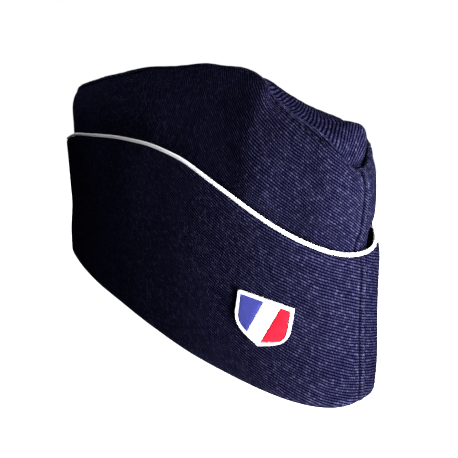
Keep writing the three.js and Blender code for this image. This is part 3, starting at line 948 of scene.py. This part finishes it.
# ---- materials ----
COLOURS = dict(
    # painted shade of the twill's valleys and painted highlight of its rib tops; the thread mixes the same two colours
    # as its dark and light tone
    navy_valley=(0.0002, 0.0001, 0.0040),
    navy_rib=(0.0240, 0.0235, 0.0540),
    # painted shade in seam ditches, stitched grooves and along the gusset's edges
    navy_crease=(0.0001, 0.0001, 0.0008),
    # worn cloth with painted highlights along welts and ridges; also the lighter rim fold
    navy_worn=(0.0480, 0.0480, 0.1050),
    navy_sheen=(0.25, 0.25, 1.0),
    thread_sheen=(0.4, 0.4, 1.0),
    felt_shade=(0.46, 0.45, 0.52),
    felt_light=(0.80, 0.79, 0.82),
    blue_deep=(0.026, 0.030, 0.155),
    blue_bright=(0.034, 0.039, 0.190),
    white_deep=(0.84, 0.84, 0.88),
    white_bright=(0.92, 0.92, 0.94),
    red_deep=(0.36, 0.0066, 0.017),
    red_bright=(0.44, 0.0105, 0.026),
    paint_dull=(0.80, 0.80, 0.84),
    paint_clean=(0.90, 0.90, 0.92),
    bare_metal=(0.42, 0.43, 0.46),
    steel_dark=(0.46, 0.47, 0.50),
    steel_light=(0.68, 0.69, 0.72),
    paper_shade=(0.93, 0.93, 0.93),
    paper_light=(0.96, 0.96, 0.96),
)
CROWN_PITCH = 0.76  # distance between the twill's raised ribs
CURTAIN_PITCH = 0.94
TOP_PITCH = 1.25
FLOAT_LENGTH = 1.0  # length of each thread's float along its rib
DRIFT = 0.3  # how far the ribs wander
YARN = dict(along=0.55, around=0.9)  # pitches of the piping's yarns
SHARP = 3.0  # power that narrows the painted highlight on the top of a rib


class Finish:
    """A node material, with short spellings for the nodes that it is built from."""

    def __init__(self, name):
        self.material = bpy.data.materials.new(name)
        self.material.use_nodes = True
        self.tree = self.material.node_tree
        self.tree.nodes.clear()
        self.shader = self.tree.nodes.new("ShaderNodeBsdfPrincipled")
        output = self.tree.nodes.new("ShaderNodeOutputMaterial")
        self.tree.links.new(self.shader.outputs[0], output.inputs["Surface"])

    def feed(self, socket, value):
        if isinstance(value, bpy.types.NodeSocket):
            self.tree.links.new(value, socket)
        else:
            socket.default_value = (*COLOURS[value], 1) if isinstance(value, str) else value

    def node(self, kind, inputs=(), **settings):
        """Adds a node and gives its outputs."""
        made = self.tree.nodes.new("ShaderNode" + kind)
        for name, value in settings.items():
            setattr(made, name, value)
        for name, value in dict(inputs).items():
            self.feed(made.inputs[name], value)
        return made.outputs

    def math(self, operation, *values):
        return self.node("Math", dict(enumerate(values)), operation=operation)[0]

    def product(self, first, *others):
        for other in others:
            first = self.math("MULTIPLY", first, other)
        return first

    def place(self):
        """The piece's own coordinates in metres."""
        return self.node("TexCoord")["Object"]

    def weave(self):
        """The cloth's own coordinates in mm: along it, and up or across it."""
        place = self.node("UVMap", uv_map="Weave")[0]
        parts = self.node("SeparateXYZ", {0: place})
        return place, parts[0], parts[1]

    def wave(self, value):
        """One rounded hump from each whole number to the next."""
        return self.math("SINE", self.product(self.math("FRACT", value), math.pi))

    def chance(self, value, kind, socket):
        """A random number for each whole value."""
        return self.node("TexWhiteNoise", {socket: value}, noise_dimensions=kind)["Value"]

    def noise(self, place, scale, detail=2.0, rough=0.5):
        inputs = {"Vector": place, "Scale": scale, "Detail": detail, "Roughness": rough}
        return self.node("TexNoise", inputs)[0]

    def ramp(self, value, low, high, to_low=0.0, to_high=1.0):
        return self.node("MapRange", {0: value, 1: low, 2: high, 3: to_low, 4: to_high})[0]

    def spread(self, noise, to_low=0.0, to_high=1.0):
        """A noise's middle range stretched out."""
        return self.ramp(noise, 0.3, 0.7, to_low, to_high)

    def blend(self, amount, first, second):
        return self.node("Mix", {0: amount, 6: first, 7: second}, data_type="RGBA")[2]

    def bump(self, height, distance, strength=1.0):
        return self.node("Bump", {"Strength": strength, "Distance": distance, "Height": height})[0]

    def surface(self, **values):
        for name, value in values.items():
            self.feed(self.shader.inputs[name.replace("_", " ")], value)
        return self.material


def twill(name, pitch):
    """Wool twill: narrow ribs of short floats, each float a little lighter or darker than the next."""
    mat = Finish(name)
    place, running, across = mat.weave()
    drift = mat.spread(mat.noise(place, scale=0.09), -DRIFT, DRIFT)
    rib = mat.math("DIVIDE", mat.math("ADD", across, drift), pitch)
    number = mat.math("FLOOR", rib)
    offset = mat.chance(number, "1D", "W")
    step = mat.math("ADD", mat.math("DIVIDE", running, FLOAT_LENGTH), offset)
    bead = mat.math("POWER", mat.wave(step), 0.6)
    cell = mat.node("CombineXYZ", {0: number, 1: mat.math("FLOOR", step)})[0]
    chance = mat.chance(cell, "2D", "Vector")
    fleck = mat.ramp(chance, 0.86, 0.92, 0, 0.9)
    shade = mat.math("ADD", mat.ramp(chance, 0, 1, 0.45, 1.1), fleck)
    fibre = mat.noise(place, scale=3.2, detail=3.0, rough=0.7)
    tangle = mat.noise(place, scale=0.35, detail=3.0, rough=0.6)
    thread = mat.product(mat.wave(rib), mat.ramp(bead, 0, 1, 0.6, 1.0))
    # painted highlight on the tops of ribs and floats, times the yarn's random tone
    lit = mat.product(mat.math("POWER", thread, SHARP), shade, mat.spread(fibre, 0.55, 1.3),
                      mat.ramp(tangle, 0.25, 0.75, 0.7, 1.25))
    # painted shade in the valleys between the ribs, painted highlight on their tops
    colour = mat.blend(lit, "navy_valley", "navy_rib")
    wear = mat.node("Attribute", attribute_name="wear")["Fac"]
    # above nought: worn cloth and painted highlights along welts and ridges, and the lighter rim fold
    worn_and_highlit = mat.product(mat.ramp(wear, 0, 1), mat.ramp(tangle, 0.35, 0.7, 0.35, 1.0), lit)
    colour = mat.blend(worn_and_highlit, colour, "navy_worn")
    # below nought: painted shade in seam ditches, stitched grooves, the ridge groove and along the gusset's edges
    colour = mat.blend(mat.ramp(wear, 0, -1), colour, "navy_crease")
    height = mat.math("ADD", thread, mat.product(fibre, 0.35))
    return mat.surface(Base_Color=colour, Roughness=mat.ramp(lit, 0, 1, 0.75, 0.5),
                       Normal=mat.bump(height, distance=0.00022, strength=0.8),
                       Specular_IOR_Level=0.0, Sheen_Weight=0.002, Sheen_Roughness=0.45,
                       Sheen_Tint="navy_sheen")


def thread_finish():
    mat = Finish("sewing_thread")
    fuzz = mat.noise(mat.place(), scale=2600)
    return mat.surface(Base_Color=mat.blend(mat.spread(fuzz), "navy_valley", "navy_rib"),
                       Roughness=0.5, Normal=mat.bump(fuzz, distance=0.0001),
                       Specular_IOR_Level=0.01, Sheen_Weight=0.003, Sheen_Tint="thread_sheen")


def piping_finish():
    """Felted white tape over a cord, with faint slanting yarns and soft grey fluff."""
    mat = Finish("piping_felt")
    place, along, around = mat.weave()
    slant = mat.math("ADD", mat.math("DIVIDE", along, YARN["along"]),
                     mat.math("DIVIDE", around, YARN["around"]))
    yarn = mat.wave(slant)
    fluff = mat.noise(place, scale=2.4, detail=3.0, rough=0.65)
    patch = mat.spread(mat.noise(place, scale=0.16), 0.8, 1.0)
    lint = mat.ramp(fluff, 0.25, 0.75, 0.55, 1.1)
    shade = mat.product(lint, mat.ramp(yarn, 0, 1, 0.7, 1.0), patch)
    height = mat.math("ADD", yarn, mat.product(fluff, 1.2))
    return mat.surface(Base_Color=mat.blend(shade, "felt_shade", "felt_light"),
                       Roughness=mat.spread(fluff, 0.95, 0.75),
                       Normal=mat.bump(height, distance=0.00018), Specular_IOR_Level=0.2,
                       Sheen_Weight=0.3, Sheen_Roughness=0.5)


def enamel_finish(colour):
    """Hard enamel: a polished surface with faint pooling of the colour and fine orange peel."""
    mat = Finish("enamel_" + colour)
    place = mat.place()
    pool = mat.noise(place, scale=260)
    peel = mat.noise(place, scale=900, detail=1.0)
    return mat.surface(Base_Color=mat.blend(mat.spread(pool), colour + "_deep", colour + "_bright"),
                       Roughness=mat.spread(peel, 0.16, 0.26),
                       Normal=mat.bump(peel, distance=0.00003, strength=0.4),
                       Coat_Weight=0.6, Coat_Roughness=0.08)


def rim_finish():
    """Satin white paint over metal, rubbed through in specks along the top of the rim."""
    mat = Finish("badge_rim")
    place = mat.place()
    grain = mat.noise(place, scale=1500, detail=3.0)
    rubbed = mat.ramp(mat.noise(place, scale=700, detail=4.0, rough=0.7), 0.68, 0.74)
    coat = mat.blend(mat.spread(grain), "paint_dull", "paint_clean")
    return mat.surface(Base_Color=mat.blend(rubbed, coat, "bare_metal"), Metallic=rubbed,
                       Roughness=mat.spread(grain, 0.3, 0.42),
                       Normal=mat.bump(grain, distance=0.00003, strength=0.5),
                       Coat_Weight=0.2, Coat_Roughness=0.2)


def steel_finish():
    mat = Finish("pin_brushed_steel")
    streaks = mat.node("Mapping", {"Vector": mat.place(), "Scale": (1, 1, 18)})[0]
    brushed = mat.noise(streaks, scale=700, detail=4.0, rough=0.6)
    return mat.surface(Base_Color=mat.blend(mat.spread(brushed), "steel_dark", "steel_light"),
                       Metallic=1.0, Roughness=mat.spread(brushed, 0.28, 0.5),
                       Normal=mat.bump(brushed, distance=0.00004, strength=0.5))


def paper_finish():
    mat = Finish("floor_paper")
    grain = mat.noise(mat.place(), scale=40, detail=3.0)
    return mat.surface(Base_Color=mat.blend(mat.spread(grain), "paper_shade", "paper_light"),
                       Roughness=0.9, Specular_IOR_Level=0.1,
                       Emission_Color=(1, 1, 1, 1), Emission_Strength=0.92)


# ---- assembly ----
def dress(piece, slot, material, *nodes):
    """Gives a piece its finish, and makes it ride with the cap in place of its CAD nodes."""
    paint(piece, material)
    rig.ride(piece, "root")
    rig.slot(piece, slot)
    if nodes:
        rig.replaces(piece, *nodes)


def paint(piece, material):
    piece.data.materials.clear()
    piece.data.materials.append(material)


def make_cloth():
    pieces, panels = {}, {}
    for node, make, side, seed, pitch, held in (
            ("crown_right", crown_panel, -1, 11, CROWN_PITCH, "stretched"),
            ("crown_left", crown_panel, 1, 12, CROWN_PITCH, "stretched"),
            ("curtain_right", curtain_half, -1, 21, CURTAIN_PITCH, "folded"),
            ("curtain_left", curtain_half, 1, 22, CURTAIN_PITCH, "folded")):
        pieces[node], panels[node] = make(side, node + "_cloth", seed)
        dress(pieces[node], "cloth", twill("twill_" + node, pitch), node)
        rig.sheet(pieces[node], held=held, **panels[node].cut())
    top, top_cut = gusset("crown_top_cloth", 31)
    dress(top, "cloth", twill("twill_top", TOP_PITCH), "crown_top")
    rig.sheet(top, held="stretched", rests_on=[pieces["crown_right"], pieces["crown_left"]], **top_cut)
    thread = thread_finish()
    ridge_rows = [panels[node].row_below_top(STITCH_LINE) for node in ("crown_right", "crown_left")]
    dress(stitches("ridge_stitching", ridge_rows), "cloth", thread)
    seam_rows = []
    for panel, lowest in ((panels["crown_left"], CROWN_STITCHED_FROM),
                          (panels["curtain_left"], CURTAIN_STITCHED_FROM)):
        for seam in ("front", "back"):
            line, normal = panel.row_beside_seam(STITCH_LINE, seam)
            keep = line[:, 2] > lowest
            seam_rows.append((line[keep], normal[keep]))
    dress(stitches("seam_stitching", seam_rows), "cloth", thread)


def make_badge():
    half = BADGE["band_half"]
    pieces = [(badge_body("badge_body"), "badge_metal", rim_finish(), "badge_plate")]
    limits = (-math.inf, -half, half, math.inf)
    for colour, low, high in zip(("blue", "white", "red"), limits, limits[1:]):
        field = enamel_field("badge_field_" + colour, low, high)
        pieces.append((field, "enamel_" + colour, enamel_finish(colour), "badge_" + colour))
    for piece, slot, material, node in pieces:
        piece.matrix_world = badge_frame()
        dress(piece, slot, material, node)
    paint(frame["nodes"]["badge_pin"], steel_finish())


# ---- floor, light and camera, in metres and watts ----
SWEEP = dict(flat=1.4, bend=0.5, wall=1.2, bend_steps=9, sides=96)
INNER_RINGS = (0.02, 0.2, 0.5)  # radii of the floor's inner rings
LIGHTS = (
    # name, place, aim, size and power
    ("key", (0.24, -0.055, 0.025), (0.05, -0.02, 0.06), 0.08, 1.0),
    ("front", (0.24, -0.02, 0.06), (0.05, -0.02, 0.06), 0.08, 0.32),
    ("front_above", (0.20, 0.02, 0.12), (0.05, 0, 0.06), 0.08, 0.40),
    ("top", (-0.25, 0, 0.70), (-0.05, 0, 0.06), 0.30, 4.2),
    ("behind_left", (-0.45, 0.70, 0.35), (0, 0, 0.05), 0.50, 7.0),
)
SKY = dict(colour=(0.95, 0.97, 1.0, 1), strength=0.09)
CAMERA = dict(azimuth=53.39, elevation=12.33, roll=2.09, aim=(-0.0251, 0.0602, 0.0222), distance=0.300,
              sensor=36, lens=34.585, near=0.01, far=20)


def make_floor():
    """Pale seamless sweep: a flat floor that curves up into a round wall."""
    flat, bend, sides = SWEEP["flat"], SWEEP["bend"], SWEEP["sides"]
    radii = [*INNER_RINGS, flat]
    heights = [0.0] * len(radii)
    for angle in np.linspace(0, math.pi / 2, SWEEP["bend_steps"] + 1)[1:]:
        radii.append(flat + bend * math.sin(angle))
        heights.append(bend * (1 - math.cos(angle)))
    radii.append(flat + bend)
    heights.append(bend + SWEEP["wall"])
    turn = 2 * np.pi * np.arange(sides) / sides
    rings = [np.column_stack([r * np.cos(turn), r * np.sin(turn), np.full(sides, h)])
             for r, h in zip(radii, heights)]
    at = np.arange(sides * len(rings)).reshape(-1, sides)
    faces = [quad[::-1] for quad in bands(at).tolist()] + [at[0].tolist()]
    mesh = bpy.data.meshes.new("floor")
    mesh.from_pydata(np.concatenate(rings).tolist(), [], faces)
    mesh.shade_smooth()
    floor = add("floor", mesh)
    paint(floor, paper_finish())
    floor.visible_diffuse = False
    floor.visible_glossy = False
    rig.stage(floor)


def make_lights():
    for name, place, aim, size, power in LIGHTS:
        data = bpy.data.lights.new(name, "AREA")
        data.shape = "DISK"
        data.size = size
        data.energy = power
        light = add(name, data)
        light.location = place
        light.visible_camera = False
        light.rotation_mode = "QUATERNION"
        light.rotation_quaternion = (Vector(aim) - Vector(place)).to_track_quat("-Z", "Y")
    world = bpy.data.worlds.new("studio")
    world.use_nodes = True
    background = world.node_tree.nodes["Background"]
    background.inputs["Color"].default_value = SKY["colour"]
    background.inputs["Strength"].default_value = SKY["strength"]
    bpy.context.scene.world = world


def make_camera():
    turn, rise, roll = (math.radians(CAMERA[key]) for key in ("azimuth", "elevation", "roll"))
    back = Vector((math.sin(turn) * math.cos(rise), -math.cos(turn) * math.cos(rise), math.sin(rise)))
    right = Vector((math.cos(turn), math.sin(turn), 0))
    up = back.cross(right)
    across = right * math.cos(roll) + up * math.sin(roll)
    above = up * math.cos(roll) - right * math.sin(roll)
    data = bpy.data.cameras.new("camera")
    data.sensor_width = CAMERA["sensor"]
    data.lens = CAMERA["lens"]
    data.clip_start, data.clip_end = CAMERA["near"], CAMERA["far"]
    camera = add("camera", data)
    spin = Matrix((across, above, back)).transposed().to_4x4()
    place = Vector(CAMERA["aim"]) + back * CAMERA["distance"]
    camera.matrix_world = Matrix.Translation(place) @ spin
    bpy.context.scene.camera = camera


bpy.context.scene.view_settings.view_transform = "Standard"
make_cloth()
dress(piping("piping_cord"), "piping", piping_finish(), "piping")
make_badge()
make_floor()
make_lights()
make_camera()
sizes = {"cad": [list(corner) for corner in cad_box], "visual": [list(corner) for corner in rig.bounds()]}
with open("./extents.json", "w") as f:
    json.dump(sizes, f)
